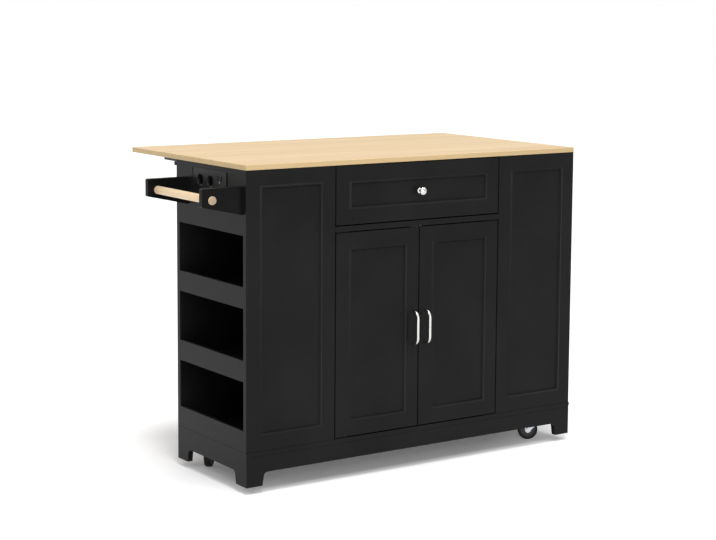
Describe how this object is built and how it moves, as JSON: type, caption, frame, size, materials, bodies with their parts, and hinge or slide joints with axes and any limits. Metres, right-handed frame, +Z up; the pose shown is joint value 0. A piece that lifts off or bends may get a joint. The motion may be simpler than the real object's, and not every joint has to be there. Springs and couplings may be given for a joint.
{
  "type": "rolling kitchen island",
  "caption": "Wheeled kitchen island with recessed-panel doors, a drawer, open side shelves, a hanging rail, side sockets and a drop leaf at the back.",
  "frame": {"origin": "centre of the whole object's box at floor level, hanging rail and raised leaf included", "axes": "+Z up, -Y towards the doors, +X to the right as seen from the doors"},
  "size_m": [1.3045, 0.7072, 0.92],
  "materials": {
    "black_paint": "satin black lacquer",
    "oak_top": "matt sealed oak",
    "beech": "turned and sanded",
    "drawer_birch": "satin",
    "chrome": "polished",
    "zinc": "bright zinc",
    "black_steel": "black powder coat",
    "black_plastic": "satin",
    "grey_plastic": "satin",
    "wheel_nylon": "matt grey tread",
    "rubber": "matt"
  },
  "bodies": {
    "cabinet": {"tabletop": "oak_top", "bottom_board": "black_paint", "back_panel": "black_paint", "left_partition": "black_paint", "right_side_panel": "black_paint", "hinge_post": "black_paint", "drawer_divider": "black_paint", "dust_board": "black_paint", "inner_shelf": "black_paint", "left_front": "black_paint", "right_front": "black_paint", "upper_side_panel": "black_paint", "bay_ceiling": "black_paint", "side_shelf_upper": "black_paint", "side_shelf_lower": "black_paint", "shelf_lips": "black_paint", "plinth_front": "black_paint", "plinth_back": "black_paint", "plinth_left": "black_paint", "plinth_right": "black_paint", "rail_arm_front": "black_paint", "rail_arm_rear": "black_paint", "rail_dowel": "beech", "power_module": "black_plastic", "usb_insert": "black_plastic", "drawer_runners": "zinc", "door_catch": "grey_plastic", "door_pivots": "black_steel", "shelf_pins": "zinc", "wall_bumpers": "rubber", "bracket_plates": "black_steel", "bracket_rivets": "zinc", "caster_blocks": "black_paint", "caster_plates": "zinc"},
    "drawer": {"drawer_front": "black_paint", "drawer_side_left": "drawer_birch", "drawer_side_right": "drawer_birch", "drawer_back": "drawer_birch", "drawer_bottom": "drawer_birch", "drawer_slides": "zinc", "drawer_knob": "chrome"},
    "door_left": {"door_left": "black_paint", "door_handle_left": "chrome"},
    "door_right": {"door_right": "black_paint", "door_handle_right": "chrome"},
    "leaf": {"drop_leaf": "oak_top", "bracket_arms": "black_steel", "bracket_catches": "black_steel"},
    "brace_left": {"brace_left": "black_steel"},
    "brace_right": {"brace_right": "black_steel"},
    "fork_front_left": {"fork_front_left": "zinc"},
    "wheel_front_left": {"wheel_front_left": "wheel_nylon"},
    "fork_front_right": {"fork_front_right": "zinc"},
    "wheel_front_right": {"wheel_front_right": "wheel_nylon"},
    "fork_rear_left": {"fork_rear_left": "zinc"},
    "wheel_rear_left": {"wheel_rear_left": "wheel_nylon"},
    "fork_rear_right": {"fork_rear_right": "zinc"},
    "wheel_rear_right": {"wheel_rear_right": "wheel_nylon"},
    "pedal_rear_left": {"pedal_rear_left": "zinc"},
    "pedal_rear_right": {"pedal_rear_right": "zinc"}
  },
  "joints": [
    {"name": "drawer_slide", "type": "slide", "parent": "cabinet", "child": "drawer", "axis": [0, -1, 0], "range_m": [0, 0.25]},
    {"name": "door_left_hinge", "type": "hinge", "parent": "cabinet", "child": "door_left", "pos_m": [-0.22775, -0.3189, 0.417], "axis": [0, 0, -1], "range_deg": [0, 100]},
    {"name": "door_right_hinge", "type": "hinge", "parent": "cabinet", "child": "door_right", "pos_m": [0.34525, -0.3189, 0.417], "axis": [0, 0, 1], "range_deg": [0, 100]},
    {"name": "leaf_fold", "type": "hinge", "parent": "cabinet", "child": "leaf", "pos_m": [0.05875, 0.1011, 0.8975], "axis": [-1, 0, 0], "range_deg": [0, 90]},
    {"name": "brace_left_fold", "type": "hinge", "parent": "cabinet", "child": "brace_left", "pos_m": [-0.45025, 0.1011, 0.8315], "axis": [-1, 0, 0], "range_deg": [0, 122]},
    {"name": "brace_right_fold", "type": "hinge", "parent": "cabinet", "child": "brace_right", "pos_m": [0.56775, 0.1011, 0.8315], "axis": [-1, 0, 0], "range_deg": [0, 122]},
    {"name": "swivel_front_left", "type": "hinge", "parent": "cabinet", "child": "fork_front_left", "pos_m": [-0.44325, -0.2574, 0.069], "axis": [0, 0, 1], "continuous": true},
    {"name": "roll_front_left", "type": "hinge", "parent": "fork_front_left", "child": "wheel_front_left", "pos_m": [-0.46191, -0.24574, 0.031], "axis": [0.5299, 0.848, 0], "continuous": true},
    {"name": "swivel_front_right", "type": "hinge", "parent": "cabinet", "child": "fork_front_right", "pos_m": [0.56075, -0.2574, 0.069], "axis": [0, 0, 1], "continuous": true},
    {"name": "roll_front_right", "type": "hinge", "parent": "fork_front_right", "child": "wheel_front_right", "pos_m": [0.54209, -0.24574, 0.031], "axis": [0.5299, 0.848, 0], "continuous": true},
    {"name": "swivel_rear_left", "type": "hinge", "parent": "cabinet", "child": "fork_rear_left", "pos_m": [-0.44325, 0.0216, 0.069], "axis": [0, 0, 1], "continuous": true},
    {"name": "roll_rear_left", "type": "hinge", "parent": "fork_rear_left", "child": "wheel_rear_left", "pos_m": [-0.45853, 0.00577, 0.031], "axis": [-0.7193, 0.6947, 0], "continuous": true},
    {"name": "pedal_rear_left_press", "type": "hinge", "parent": "fork_rear_left", "child": "pedal_rear_left", "pos_m": [-0.46409, 0.00002, 0.0646], "axis": [0.7193, -0.6947, 0], "range_deg": [0, 10]},
    {"name": "swivel_rear_right", "type": "hinge", "parent": "cabinet", "child": "fork_rear_right", "pos_m": [0.56075, 0.0216, 0.069], "axis": [0, 0, 1], "continuous": true},
    {"name": "roll_rear_right", "type": "hinge", "parent": "fork_rear_right", "child": "wheel_rear_right", "pos_m": [0.54065, 0.03055, 0.031], "axis": [0.4067, 0.9135, 0], "continuous": true},
    {"name": "pedal_rear_right_press", "type": "hinge", "parent": "fork_rear_right", "child": "pedal_rear_right", "pos_m": [0.53334, 0.0338, 0.0646], "axis": [-0.4067, -0.9135, 0], "range_deg": [0, 10]}
  ],
  "couplings": [
    {"joint": "brace_left_fold", "follows": "leaf_fold", "ratio": 1.3453},
    {"joint": "brace_right_fold", "follows": "leaf_fold", "ratio": 1.3453}
  ]
}
